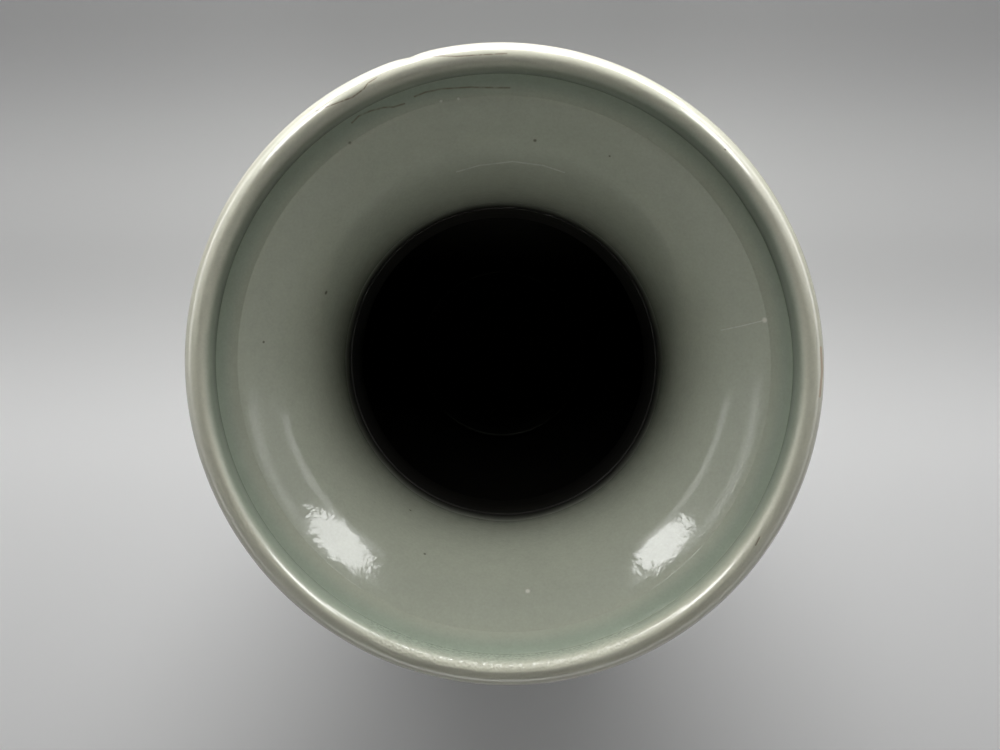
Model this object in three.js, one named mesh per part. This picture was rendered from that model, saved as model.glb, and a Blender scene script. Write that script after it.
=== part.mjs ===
// A celadon vase with a trumpet mouth, put together the way its potter builds it.
// It is thrown in sections. Each section is a ring of stoneware with flat ends, and the
// sections stand on each other with a thin ring of luting slip (liquid clay) in every joint.
// The floor of the vase is a saucer, dropped in from above onto a ledge in the foot.
// Millimetres, +Z up, origin on the table at the middle of the foot.
import * as THREE from "three";

// Section heights, from the table up
const footHeight = 34;
const lowerBodyHeight = 126;
const upperBodyHeight = 54.6;
const neckHeight = 57;
const trumpetHeight = 67.6;
const lipHeight = 6.8;

// Outer radii
const bearingRadius = 53.5;
const footRadius = 57;
const ankleRadius = 48.5;
const bellyRadius = 84;
const shoulderRadius = 60;
const waistRadius = 54;
const mouthRadius = 85;

// Wall thicknesses, measured level, and the flare's measured square to it
const bearingWidth = 7.5;
const ankleWall = 8.5;
const bellyWall = 7;
const shoulderWall = 8.4;
const waistWall = 5.6;
const flareWall = 5;
const lipSeatWidth = 5.6;

// How the wall leans, in degrees from upright; outward is positive. It is upright at belly and waist.
const ankleLean = 7;
const shoulderLean = -46;
const underLipLean = 30;

// Foot: a turned bevel outside, a hollow inside, and a ledge for the floor saucer
const footBevelHeight = 2.5;
const footEdgeHeight = 4;
const footLean = -38;
const hollowLean = -12;
const ledgeWidth = 5;
const ledgeThickness = 6;

// Floor saucer
const saucerHeight = 13;
const saucerThickness = 7;
const saucerRimThickness = 4.5;
const saucerClearance = 0.4;

// Neck: one raised string covers its joint with the shoulder
const stringHeight = 3.4;
const stringDepth = 1;
const stringLean = -14;

// Trumpet: it flares late and ends in a ridge, above which a steeper channel runs up to the lip
const channelWidth = 5;
const channelHeight = 6;
const flareLean = 60;

// Rolled lip
const lipCrestInset = 4.6;
const lipUndercut = 2;
const lipEdgeHeight = 2.2;
const lipWallHeight = 3.2;
const lipWallBatter = 0.7;

// Luting slip in the joints, with the bead that is squeezed out inside
const slipThickness = 0.8;
const slipBead = 0.5;

// Shares of a curve's rise over which it holds its direction, at its lower and its upper end
const footShares = [0.38, 0.42];
const hollowShares = [0.3, 0.4];
const lowerBodyShares = [0.36, 0.46];
const upperBodyShares = [0.6, 0.26];
const neckShares = [0.3, 0.5];
const flareShares = [0.5, 0.42];
const underLipShares = [0.3, 0.4];
const rollShare = 0.55;

const turnSteps = 48;
const curveSteps = 6;
const bodyCurveSteps = 9;

const bodyClay = new THREE.MeshStandardMaterial({ color: 0xaeb39f, roughness: 0.22, metalness: 0 });
const lipClay = new THREE.MeshStandardMaterial({ color: 0xbcbea7, roughness: 0.22, metalness: 0 });
const footClay = new THREE.MeshStandardMaterial({ color: 0xa8ab95, roughness: 0.3, metalness: 0 });
const slipClay = new THREE.MeshStandardMaterial({ color: 0xb9b5a4, roughness: 0.6, metalness: 0 });

// Heights of the lower and upper face of every slip ring
const ankleTop = footHeight + slipThickness;
const bellyBase = ankleTop + lowerBodyHeight;
const bellyTop = bellyBase + slipThickness;
const shoulderBase = bellyTop + upperBodyHeight;
const shoulderTop = shoulderBase + slipThickness;
const waistBase = shoulderTop + neckHeight;
const waistTop = waistBase + slipThickness;
const lipBase = waistTop + trumpetHeight;
const lipTop = lipBase + slipThickness;
const mouthHeight = lipTop + lipHeight;

// The wall as it is cut at each joint
const ankle = wallAt(ankleRadius, ankleWall, ankleLean);
const belly = wallAt(bellyRadius, bellyWall, 0);
const shoulder = wallAt(shoulderRadius, shoulderWall, shoulderLean);
const waist = wallAt(waistRadius, waistWall, 0);
const lipSeat = wallAt(mouthRadius - lipUndercut, lipSeatWidth, underLipLean);
const ledgeRadius = ankle.inner - ledgeWidth;

/** A wall's outer and inner radius and its lean. */
function wallAt(outer, thickness, lean) {
  return { outer, inner: outer - thickness, lean };
}

/** A step of a given length along a wall that leans, upwards. */
function along(lean, length) {
  const angle = THREE.MathUtils.degToRad(lean);
  return new THREE.Vector2(Math.sin(angle), Math.cos(angle)).multiplyScalar(length);
}

/** A step of a given length through a wall that leans, from its inside to its outside. */
function through(lean, length) {
  const angle = THREE.MathUtils.degToRad(lean);
  return new THREE.Vector2(Math.cos(angle), -Math.sin(angle)).multiplyScalar(length);
}

/** Carries a path on to a point, leaning one way where it starts and another where it ends. */
function curveTo(path, radius, height, startLean, endLean, shares) {
  const start = path.currentPoint.clone();
  const end = new THREE.Vector2(radius, height);
  const rise = end.y - start.y;
  const first = start.clone().add(along(startLean, rise * shares[0]));
  const second = end.clone().sub(along(endLean, rise * shares[1]));
  path.bezierCurveTo(first.x, first.y, second.x, second.y, end.x, end.y);
}

/** The shares of a curve that runs down where the one that they were chosen for runs up. */
function downwards(shares) {
  return [...shares].reverse();
}

/** Turns a closed outline of radius and height about the vase's axis. */
function turned(name, outline, clay, steps = curveSteps) {
  outline.closePath();
  const geometry = new THREE.LatheGeometry(outline.getPoints(steps), turnSteps);
  geometry.rotateX(Math.PI / 2);
  const mesh = new THREE.Mesh(geometry, clay);
  mesh.name = name;
  return mesh;
}

/** The spreading foot: a bearing edge, a bevel, a cove up to the ankle, and the ledge inside. */
function footRing() {
  const hollowRadius = bearingRadius - bearingWidth;
  const outline = new THREE.Path();
  outline.moveTo(hollowRadius, 0);
  outline.lineTo(bearingRadius, 0);
  outline.lineTo(footRadius, footBevelHeight);
  outline.lineTo(footRadius, footBevelHeight + footEdgeHeight);
  curveTo(outline, ankle.outer, footHeight, footLean, ankle.lean, footShares);
  outline.lineTo(ledgeRadius, footHeight);
  outline.lineTo(ledgeRadius, footHeight - ledgeThickness);
  curveTo(outline, hollowRadius, 0, hollowLean, hollowLean, downwards(hollowShares));
  return turned("foot_ring", outline, footClay);
}

/** The floor: a saucer that lies on the ledge of the foot, just clear of the wall round it. */
function baseSaucer() {
  const radius = ankle.inner - saucerClearance;
  const rimRadius = radius - saucerRimThickness;
  const floorHeight = ankleTop + saucerThickness;
  const rimHeight = ankleTop + saucerHeight;
  const outline = new THREE.Path();
  outline.moveTo(0, ankleTop);
  outline.lineTo(radius, ankleTop);
  outline.lineTo(radius, rimHeight);
  outline.lineTo(rimRadius, rimHeight);
  outline.quadraticCurveTo(rimRadius, floorHeight, rimRadius - saucerThickness, floorHeight);
  outline.lineTo(0, floorHeight);
  return turned("base_saucer", outline, bodyClay);
}

/** Half of the body: its outside and inside both run in one sweep from joint to joint. */
function bodySection(name, lower, base, upper, top, shares) {
  const outline = new THREE.Path();
  outline.moveTo(lower.inner, base);
  outline.lineTo(lower.outer, base);
  curveTo(outline, upper.outer, top, lower.lean, upper.lean, shares);
  outline.lineTo(upper.inner, top);
  curveTo(outline, lower.inner, base, upper.lean, lower.lean, downwards(shares));
  return turned(name, outline, bodyClay, bodyCurveSteps);
}

/** The neck, from the raised string at the shoulder up to the waist. */
function neckSection() {
  const stringTop = shoulderTop + stringHeight;
  const outline = new THREE.Path();
  outline.moveTo(shoulder.inner, shoulderTop);
  outline.lineTo(shoulder.outer, shoulderTop);
  outline.quadraticCurveTo(
    shoulder.outer + stringDepth, shoulderTop + stringHeight / 2,
    shoulder.outer - stringDepth, stringTop,
  );
  curveTo(outline, waist.outer, waistBase, stringLean, waist.lean, neckShares);
  outline.lineTo(waist.inner, waistBase);
  curveTo(outline, shoulder.inner, shoulderTop, waist.lean, stringLean, downwards(neckShares));
  return turned("neck", outline, bodyClay);
}

/** The flaring mouth, from the waist up to the flat seat of the lip. */
function trumpetMouth() {
  const flareTop = new THREE.Vector2(lipSeat.inner - channelWidth, lipBase - channelHeight);
  const underFlare = flareTop.clone().add(through(flareLean, flareWall));
  const outline = new THREE.Path();
  outline.moveTo(waist.inner, waistTop);
  outline.lineTo(waist.outer, waistTop);
  curveTo(outline, underFlare.x, underFlare.y, waist.lean, flareLean, flareShares);
  curveTo(outline, lipSeat.outer, lipBase, flareLean, lipSeat.lean, underLipShares);
  outline.lineTo(lipSeat.inner, lipBase);
  outline.lineTo(flareTop.x, flareTop.y);
  curveTo(outline, waist.inner, waistTop, flareLean, waist.lean, downwards(flareShares));
  return turned("trumpet_mouth", outline, bodyClay);
}

/** The rolled lip: a coil with an upright inner wall, a crest near it and an undercut outside. */
function rolledLip() {
  const crestRadius = mouthRadius - lipCrestInset;
  const edgeHeight = lipTop + lipEdgeHeight;
  const wallRadius = lipSeat.inner + lipWallBatter;
  const wallHeight = lipTop + lipWallHeight;
  const outline = new THREE.Path();
  outline.moveTo(lipSeat.inner, lipTop);
  outline.lineTo(lipSeat.outer, lipTop);
  outline.quadraticCurveTo(mouthRadius, lipTop, mouthRadius, edgeHeight);
  outline.bezierCurveTo(
    mouthRadius, edgeHeight + (mouthHeight - edgeHeight) * rollShare,
    crestRadius + lipCrestInset * rollShare, mouthHeight,
    crestRadius, mouthHeight,
  );
  outline.bezierCurveTo(
    crestRadius - (crestRadius - wallRadius) * rollShare, mouthHeight,
    wallRadius, wallHeight + (mouthHeight - wallHeight) * rollShare,
    wallRadius, wallHeight,
  );
  return turned("rolled_lip", outline, lipClay);
}

/** A flat ring of slip in a joint. Inside the vase it can end in a pinched bead. */
function slipRing(name, inner, outer, base, bead) {
  const outline = new THREE.Path();
  outline.moveTo(inner, base);
  outline.lineTo(outer, base);
  outline.lineTo(outer, base + slipThickness);
  outline.lineTo(inner, base + slipThickness);
  outline.lineTo(inner - bead, base + slipThickness / 2);
  return turned(name, outline, slipClay);
}

const vase = new THREE.Group();
vase.add(
  footRing(),
  slipRing("ankle_luting_slip", ledgeRadius, ankle.outer, footHeight, 0),
  baseSaucer(),
  bodySection("lower_body", ankle, ankleTop, belly, bellyBase, lowerBodyShares),
  slipRing("belly_luting_slip", belly.inner, belly.outer, bellyBase, slipBead),
  bodySection("upper_body", belly, bellyTop, shoulder, shoulderBase, upperBodyShares),
  slipRing("shoulder_luting_slip", shoulder.inner, shoulder.outer, shoulderBase, slipBead),
  neckSection(),
  slipRing("waist_luting_slip", waist.inner, waist.outer, waistBase, slipBead),
  trumpetMouth(),
  slipRing("lip_luting_slip", lipSeat.inner, lipSeat.outer, lipBase, 0),
  rolledLip(),
);

export default vase;
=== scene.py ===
# %% [markdown]
# A celadon vase with a trumpet mouth.
# The real vase is stoneware. Its potter throws five hollow sections on the wheel, drops a
# saucer in for a floor, rolls a coil for the lip, joins everything with rings of liquid clay,
# and glazes it grey-green.
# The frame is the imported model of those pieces. It says where each one is and how large it
# is. This file gives each piece its smooth surface and its finish, then adds light and camera.

# %% Load the frame
import math

import bpy
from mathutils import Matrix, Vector


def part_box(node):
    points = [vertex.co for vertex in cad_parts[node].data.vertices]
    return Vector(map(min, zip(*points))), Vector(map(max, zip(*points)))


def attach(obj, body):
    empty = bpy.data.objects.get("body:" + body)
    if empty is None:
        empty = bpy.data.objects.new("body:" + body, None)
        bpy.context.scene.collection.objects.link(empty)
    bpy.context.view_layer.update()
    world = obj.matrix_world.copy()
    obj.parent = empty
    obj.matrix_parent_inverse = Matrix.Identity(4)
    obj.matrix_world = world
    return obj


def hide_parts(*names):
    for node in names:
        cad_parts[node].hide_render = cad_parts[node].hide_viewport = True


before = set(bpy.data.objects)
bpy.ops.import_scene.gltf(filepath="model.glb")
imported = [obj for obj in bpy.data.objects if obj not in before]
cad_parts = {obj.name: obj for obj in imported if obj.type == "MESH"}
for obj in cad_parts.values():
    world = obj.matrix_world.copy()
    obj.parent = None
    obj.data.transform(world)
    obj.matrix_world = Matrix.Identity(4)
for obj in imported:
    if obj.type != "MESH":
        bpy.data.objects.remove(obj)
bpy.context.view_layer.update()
print("pieces in the frame:", ", ".join(sorted(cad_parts)))

# %% [markdown]
# Every height and radius is read off the frame, so the smooth pieces sit exactly where the
# model has them. The sections meet in level cuts, so a cut's inner and outer radius are those
# of the nearest and the farthest vertex at its height. Blender works in metres: the factor MM
# lets the sizes below be written in millimetres, as a potter would say them.

# %% Measure the frame
MM = 0.001
SAME_PLACE = 0.01 * MM


def low_of(node):
    """The height at which a CAD node starts."""
    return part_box(node)[0].z


def high_of(node):
    """The height at which a CAD node ends."""
    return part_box(node)[1].z


def cut(node, height):
    """The inner and outer radius of a node's wall at one height."""
    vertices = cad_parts[node].data.vertices
    radii = [v.co.xy.length for v in vertices if abs(v.co.z - height) < SAME_PLACE]
    return min(radii), max(radii)


mouth_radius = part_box("rolled_lip")[1].x
mouth_height = high_of("rolled_lip")
print(f"mouth radius {mouth_radius / MM:.1f} mm, height {mouth_height / MM:.1f} mm")

# %% [markdown]
# The photograph looks straight into the mouth. The rim is a circle there, so its radius in
# pixels gives the scale, and its centre says how far the lens points past the vase's axis.
# What the eye sees as the rim is the lip's widest place, a few millimetres below its crest.
# The dark hole sits a little off the rim's centre, which tells where the eye was.

# %% Set up the camera
PHOTO_WIDTH = 1000
PHOTO_HEIGHT = 750
RIM_CENTRE_ACROSS = 504.5
RIM_CENTRE_DOWN = 365.7
RIM_RADIUS_PIXELS = 320.5
LENS = 50
SENSOR_WIDTH = 36
EYE_RIGHT = -1.6 * MM
EYE_UP = 7.1 * MM
LIP_EDGE_HEIGHT = 2.2 * MM

edge_height = low_of("rolled_lip") + LIP_EDGE_HEIGHT
pixel = mouth_radius / RIM_RADIUS_PIXELS
eye_distance = pixel * PHOTO_WIDTH * LENS / SENSOR_WIDTH
aim_right = (PHOTO_WIDTH / 2 - RIM_CENTRE_ACROSS) * pixel
aim_up = (RIM_CENTRE_DOWN - PHOTO_HEIGHT / 2) * pixel
eye_data = bpy.data.cameras.new("photo_camera")
eye_data.lens = LENS
eye_data.sensor_width = SENSOR_WIDTH
eye = bpy.data.objects.new("photo_camera", eye_data)
bpy.context.scene.collection.objects.link(eye)
eye.location = (EYE_RIGHT, EYE_UP, edge_height + eye_distance)
eye.rotation_euler = (
    math.atan2(aim_up - EYE_UP, eye_distance),
    -math.atan2(aim_right - EYE_RIGHT, eye_distance),
    0,
)
bpy.context.scene.camera = eye
print(f"the camera is {eye_distance / MM:.0f} mm above the lip's edge")

# %% [markdown]
# A thrown wall is one curve turned about the axis. The curve could be traced as a mesh by
# hand, but a potter thinks of a wall in two leans: the one it leaves with and the one it
# arrives with. A Bezier curve takes exactly these, and a share of the rise over which each
# lean is held. The steps crowd together near the ends, where two sections have to meet
# without a kink in the reflections.

# %% Draw outlines
WALL_STEPS = 56
ROUND_STEPS = 20


def bezier(start, first, second, end, steps):
    """Points on a Bezier curve, crowded at both ends, without its start."""
    points = []
    for i in range(1, steps + 1):
        t = (1 - math.cos(math.pi * i / steps)) / 2
        s = 1 - t
        points.append(s**3 * start + 3 * s * s * t * first + 3 * s * t * t * second + t**3 * end)
    return points


def leaning(lean):
    """The direction of a wall that leans, in degrees from upright; outward is positive."""
    return Vector((math.sin(math.radians(lean)), math.cos(math.radians(lean))))


class Outline:
    """The outline of a wall: points of radius and height, drawn in one closed line."""

    def __init__(self, radius, height):
        self.points = [Vector((radius, height))]

    def line(self, radius, height):
        """A straight line to a point."""
        self.points.append(Vector((radius, height)))

    def wall(self, radius, height, start_lean, end_lean, shares, steps=WALL_STEPS):
        """A curved wall to a point, from the lean it leaves with to the lean it arrives with."""
        start = self.points[-1]
        end = Vector((radius, height))
        rise = end.y - start.y
        first = start + leaning(start_lean) * rise * shares[0]
        second = end - leaning(end_lean) * rise * shares[1]
        self.points += bezier(start, first, second, end, steps)

    def round(self, corner_one, corner_two, end, steps=ROUND_STEPS):
        """A rounded edge to a point, drawn out towards two corners."""
        corners = Vector(corner_one), Vector(corner_two)
        self.points += bezier(self.points[-1], *corners, Vector(end), steps)

    def rings(self, depth, pitch):
        """Throwing rings: the fingers leave a shallow spiral, which dies out at the cuts."""
        heights = [p.y for p in self.points]
        low, high = min(heights), max(heights)
        for p in self.points:
            inset = math.sin(math.pi * (p.y - low) / (high - low)) ** 2
            p.x += depth * inset * math.sin(2 * math.pi * (p.y - low) / pitch)


def downwards(shares):
    """The shares of a wall drawn down where they were chosen for one drawn up."""
    return shares[1], shares[0]


# %% [markdown]
# The wheel. A plane merged to one point is the tip of the tool; it is extruded from point to
# point of the outline, sharp corners are softened with a bevel on the points alone, and Spin
# carries the line once round the axis. Merging the doubles closes the ring where the turn
# ends, and the poles of a floor. The normals are made consistent last, because Spin can leave
# a closed shape inside out.

# %% Throw a section on the wheel
TURN_STEPS = 192
TOOL_TIP = 1 * MM
JOIN = 0.001 * MM
CORNER_STEPS = 4
SMOOTH_ANGLE = math.radians(30)


def soften(piece, corners, size):
    """Rounds the corners of a drawn line near some points of radius and height."""
    bpy.ops.object.mode_set(mode="OBJECT")
    mesh = piece.data
    mesh.edges.foreach_set("select", [False] * len(mesh.edges))
    for v in mesh.vertices:
        v.select = any((v.co.xz - Vector(corner)).length < SAME_PLACE for corner in corners)
    bpy.ops.object.mode_set(mode="EDIT")
    bpy.ops.mesh.bevel(offset=size, segments=CORNER_STEPS, affect="VERTICES")


def throw(name, outline, closed=True, corners=(), corner_size=0.0):
    """Draws an outline and spins it about the vase's axis into a closed solid."""
    bpy.ops.object.select_all(action="DESELECT")
    bpy.ops.mesh.primitive_plane_add(size=TOOL_TIP, location=(0, 0, 0))
    piece = bpy.context.object
    piece.name = name
    piece.data.name = name
    bpy.ops.object.mode_set(mode="EDIT")
    bpy.ops.mesh.select_mode(type="VERT")
    bpy.ops.mesh.merge(type="CENTER")
    here = outline.points[0]
    bpy.ops.transform.translate(value=(here.x, 0, here.y))
    route = outline.points[1:] + (outline.points[:1] if closed else [])
    for there in route:
        step = (there.x - here.x, 0, there.y - here.y)
        bpy.ops.mesh.extrude_region_move(TRANSFORM_OT_translate={"value": step})
        here = there
    bpy.ops.mesh.select_all(action="SELECT")
    bpy.ops.mesh.remove_doubles(threshold=JOIN)
    if corners:
        soften(piece, corners, corner_size)
    bpy.ops.mesh.select_all(action="SELECT")
    bpy.ops.mesh.spin(steps=TURN_STEPS, angle=2 * math.pi, center=(0, 0, 0), axis=(0, 0, 1))
    bpy.ops.mesh.select_all(action="SELECT")
    bpy.ops.mesh.remove_doubles(threshold=JOIN)
    bpy.ops.mesh.normals_make_consistent(inside=False)
    bpy.ops.object.mode_set(mode="OBJECT")
    bpy.ops.object.shade_smooth_by_angle(angle=SMOOTH_ANGLE)
    print(f"{name}: {len(piece.data.polygons)} faces")
    return piece


# %% [markdown]
# The foot. It spreads like a low skirt so that a tall vase stands firm. The potter turns it
# upside down when it is leather hard: a flat bearing edge, a bevel, and a hollow inside with a
# ledge that carries the floor. The glaze is wiped off the lowest few millimetres and stops
# there in a thick rounded edge, so the clay below stands back by the glaze's thickness.

# %% Foot ring
FOOT_LEAN = -38
ANKLE_LEAN = 7
HOLLOW_LEAN = -12
FOOT_SHARES = (0.38, 0.42)
HOLLOW_SHARES = (0.3, 0.4)
FOOT_BEVEL = 2.5 * MM
FOOT_EDGE = 4 * MM
LEDGE_THICKNESS = 6 * MM
GLAZE_LINE = 4.4 * MM
GLAZE_THICKNESS = 0.35 * MM
TURNED_CORNER = 0.6 * MM

foot_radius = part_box("foot_ring")[1].x
foot_height = high_of("foot_ring")
bearing_inner, bearing_outer = cut("foot_ring", low_of("foot_ring"))
ledge_radius, ankle_radius = cut("foot_ring", foot_height)


def throw_foot():
    """The foot, from its bearing edge up the outside and back down the hollow."""
    bare_radius = foot_radius - GLAZE_THICKNESS
    edge_top = FOOT_BEVEL + FOOT_EDGE
    ledge_base = foot_height - LEDGE_THICKNESS
    outline = Outline(bearing_inner, 0)
    outline.line(bearing_outer, 0)
    outline.line(bare_radius, FOOT_BEVEL)
    outline.line(bare_radius, GLAZE_LINE - GLAZE_THICKNESS)
    outline.round(
        (bare_radius + GLAZE_THICKNESS, GLAZE_LINE - GLAZE_THICKNESS),
        (foot_radius, GLAZE_LINE),
        (foot_radius, GLAZE_LINE + GLAZE_THICKNESS),
    )
    outline.line(foot_radius, edge_top)
    outline.wall(ankle_radius, foot_height, FOOT_LEAN, ANKLE_LEAN, FOOT_SHARES)
    outline.line(ledge_radius, foot_height)
    outline.line(ledge_radius, ledge_base)
    outline.wall(bearing_inner, 0, HOLLOW_LEAN, HOLLOW_LEAN, downwards(HOLLOW_SHARES))
    corners = [
        (bearing_inner, 0), (bearing_outer, 0), (bare_radius, FOOT_BEVEL),
        (foot_radius, edge_top), (ledge_radius, ledge_base),
    ]
    return throw("fired_foot_ring", outline, corners=corners, corner_size=TURNED_CORNER)


foot = throw_foot()

# %% [markdown]
# The floor is a thrown saucer, dropped in from above. It only shows from below, through the
# hollow of the foot, and from above as the dark bottom of the vase. Its outline starts and
# ends on the axis, so Spin makes two poles, which merging closes.

# %% Floor saucer
SAUCER_CORNER = 1.2 * MM
RIM_THICKNESS = 4.5 * MM
FLOOR_THICKNESS = 7 * MM
SAUCER_CUT_STEPS = 12


def throw_saucer():
    """The floor saucer, from the middle of its underside round to the middle of its top."""
    low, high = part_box("base_saucer")
    floor = low.z + FLOOR_THICKNESS
    rim = high.x - RIM_THICKNESS
    outline = Outline(0, low.z)
    for i in range(1, SAUCER_CUT_STEPS + 1):
        outline.line(high.x * i / SAUCER_CUT_STEPS, low.z)
    outline.line(high.x, high.z)
    outline.line(rim, high.z)
    outline.round((rim, floor), (rim, floor), (rim - FLOOR_THICKNESS, floor))
    for i in range(SAUCER_CUT_STEPS - 1, -1, -1):
        outline.line((rim - FLOOR_THICKNESS) * i / SAUCER_CUT_STEPS, floor)
    corners = [(high.x, low.z), (high.x, high.z), (rim, high.z)]
    return throw("fired_base_saucer", outline, False, corners, SAUCER_CORNER)


saucer = throw_saucer()

# %% [markdown]
# The body is too large to throw in one go, so it is two bowls: the upper one is turned over
# and set on the lower, mouth to mouth, at the widest place. Both are upright there, so no
# edge shows in the gloss. The same function draws both from their cuts. Only the inside keeps
# its throwing rings, because the outside is trimmed smooth.

# %% Lower and upper body
SHOULDER_LEAN = -46
LOWER_BODY_SHARES = (0.36, 0.46)
UPPER_BODY_SHARES = (0.6, 0.26)
RING_DEPTH = 0.12 * MM
RING_PITCH = 8.5 * MM


def throw_bowl(node, lower_lean, upper_lean, shares):
    """Half of the body: outside from cut to cut, then inside back down with its rings."""
    base, top = low_of(node), high_of(node)
    inner_base, outer_base = cut(node, base)
    inner_top, outer_top = cut(node, top)
    inside = Outline(inner_top, top)
    inside.wall(inner_base, base, upper_lean, lower_lean, downwards(shares))
    inside.rings(RING_DEPTH, RING_PITCH)
    outline = Outline(inner_base, base)
    outline.line(outer_base, base)
    outline.wall(outer_top, top, lower_lean, upper_lean, shares)
    outline.points += inside.points[:-1]
    return throw("fired_" + node, outline)


lower_body = throw_bowl("lower_body", ANKLE_LEAN, 0, LOWER_BODY_SHARES)
upper_body = throw_bowl("upper_body", 0, SHOULDER_LEAN, UPPER_BODY_SHARES)

# %% [markdown]
# The neck is a plain thrown tube that narrows a little. A raised string runs round its foot
# and covers the joint with the shoulder. It could be a separate ring, but a potter cuts it
# from the same clay, so it belongs to the neck's outline.

# %% Neck
STRING_HEIGHT = 3.4 * MM
STRING_DEPTH = 1 * MM
STRING_LEAN = -14
NECK_SHARES = (0.3, 0.5)
QUADRATIC = 2 / 3


def throw_neck():
    """The neck, from the string at the shoulder up to the waist and back down inside."""
    base, top = low_of("neck"), high_of("neck")
    inner_base, outer_base = cut("neck", base)
    inner_top, outer_top = cut("neck", top)
    crest = Vector((outer_base + STRING_DEPTH, base + STRING_HEIGHT / 2))
    start = Vector((outer_base, base))
    end = Vector((outer_base - STRING_DEPTH, base + STRING_HEIGHT))
    outline = Outline(inner_base, base)
    outline.line(*start)
    outline.round(start.lerp(crest, QUADRATIC), end.lerp(crest, QUADRATIC), end)
    outline.wall(outer_top, top, STRING_LEAN, 0, NECK_SHARES)
    inside = Outline(inner_top, top)
    inside.wall(inner_base, base, 0, STRING_LEAN, downwards(NECK_SHARES))
    inside.rings(RING_DEPTH, RING_PITCH)
    outline.points += inside.points[:-1]
    return throw("fired_neck", outline)


neck = throw_neck()

# %% [markdown]
# The trumpet mouth is what the photograph shows. It leaves the waist upright and flares late.
# Its inside ends in a soft ridge, and above that a steeper channel runs up to the lip, where
# glaze gathers. The ridge is seen by its gloss: the windows' reflections stop there all round.

# %% Trumpet mouth
CHANNEL_WIDTH = 4.7 * MM
CHANNEL_HEIGHT = 6 * MM
FLARE_WALL = 5 * MM
FLARE_LEAN = 60
UNDER_LIP_LEAN = 30
FLARE_SHARES = (0.5, 0.42)
UNDER_LIP_SHARES = (0.3, 0.4)
FLARE_STEPS = 80
RIDGE_CORNER = 1.3 * MM
RIGHT_ANGLE = 90

waist_height = low_of("trumpet_mouth")
seat_height = high_of("trumpet_mouth")
waist_inner, waist_outer = cut("trumpet_mouth", waist_height)
seat_inner, seat_outer = cut("trumpet_mouth", seat_height)
flare_top = Vector((seat_inner - CHANNEL_WIDTH, seat_height - CHANNEL_HEIGHT))


def flare_inside():
    """The inside of the mouth, from the lip's seat down to the waist."""
    inside = Outline(seat_inner, seat_height)
    inside.line(*flare_top)
    inside.wall(waist_inner, waist_height, FLARE_LEAN, 0, downwards(FLARE_SHARES), FLARE_STEPS)
    return inside.points


def throw_trumpet():
    """The trumpet mouth, from the waist up the outside to the lip's seat and back inside."""
    square_out = leaning(FLARE_LEAN + RIGHT_ANGLE)
    under_flare = flare_top + square_out * FLARE_WALL
    outline = Outline(waist_inner, waist_height)
    outline.line(waist_outer, waist_height)
    outline.wall(*under_flare, 0, FLARE_LEAN, FLARE_SHARES, FLARE_STEPS)
    outline.wall(
        seat_outer, seat_height, FLARE_LEAN, UNDER_LIP_LEAN, UNDER_LIP_SHARES, ROUND_STEPS,
    )
    outline.points += flare_inside()[:-1]
    return throw("fired_trumpet_mouth", outline, corners=[flare_top], corner_size=RIDGE_CORNER)


trumpet = throw_trumpet()

# %% [markdown]
# The lip is a coil, rolled round the edge and pressed to a crest near the inside, with an
# undercut below it outside. A torus would be too round for it: inside, the lip turns over in
# a full curve from an upright foot, and outside it slopes away more flatly. The highlights
# stand where each side tips towards the low light, so they show both curves.

# %% Rolled lip
CREST_INSET = 4.4 * MM
LIP_FOOT_HEIGHT = 1.2 * MM
INNER_SHARE = 0.55
OUTER_SHARE = 0.42
LIP_STEPS = 36


def throw_lip():
    """The rolled lip, from its seat round the outer edge and over the crest."""
    base = low_of("rolled_lip")
    inner, outer = cut("rolled_lip", base)
    crest = mouth_radius - CREST_INSET
    edge = base + LIP_EDGE_HEIGHT
    foot = base + LIP_FOOT_HEIGHT
    under = Vector((mouth_radius, base))
    end = Vector((mouth_radius, edge))
    outline = Outline(inner, base)
    outline.line(outer, base)
    outline.round(Vector((outer, base)).lerp(under, QUADRATIC), end.lerp(under, QUADRATIC), end)
    outline.round(
        (mouth_radius, edge + (mouth_height - edge) * OUTER_SHARE),
        (crest + CREST_INSET * OUTER_SHARE, mouth_height),
        (crest, mouth_height),
        LIP_STEPS,
    )
    outline.round(
        (crest - (crest - inner) * INNER_SHARE, mouth_height),
        (inner, foot + (mouth_height - foot) * INNER_SHARE),
        (inner, foot),
        LIP_STEPS,
    )
    return throw("fired_rolled_lip", outline)


lip = throw_lip()

# %% [markdown]
# The luting slip is liquid clay that glues the sections. Each joint holds a flat ring of it.
# Outside it is wiped flush with the walls; inside, where no hand reaches, it stays as the
# small bead that was squeezed out. The two cuts that a ring fills are read off the frame, so
# one function in a loop makes all five.

# %% Luting slip
BEAD_STEPS = 10
BEAD_REACH_SHARE = 5 / 6
SLIP_RINGS = (
    "ankle_luting_slip", "belly_luting_slip", "shoulder_luting_slip",
    "waist_luting_slip", "lip_luting_slip",
)


def throw_slip(node):
    """A ring of slip between two cuts, with a rounded bead where the frame's ring has one."""
    base, top = low_of(node), high_of(node)
    inner, outer = cut(node, base)
    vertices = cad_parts[node].data.vertices
    bead = inner - min(v.co.xy.length for v in vertices)
    outline = Outline(inner, base)
    outline.line(outer, base)
    outline.line(outer, top)
    outline.line(inner, top)
    if bead > SAME_PLACE:
        reach = inner - bead / BEAD_REACH_SHARE
        outline.round((reach, top), (reach, base), (inner, base), BEAD_STEPS)
        outline.points.pop()
    return throw("fired_" + node, outline)


slips = [throw_slip(node) for node in SLIP_RINGS]
pieces = [foot, saucer, lower_body, upper_body, neck, trumpet, lip, *slips]

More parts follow.
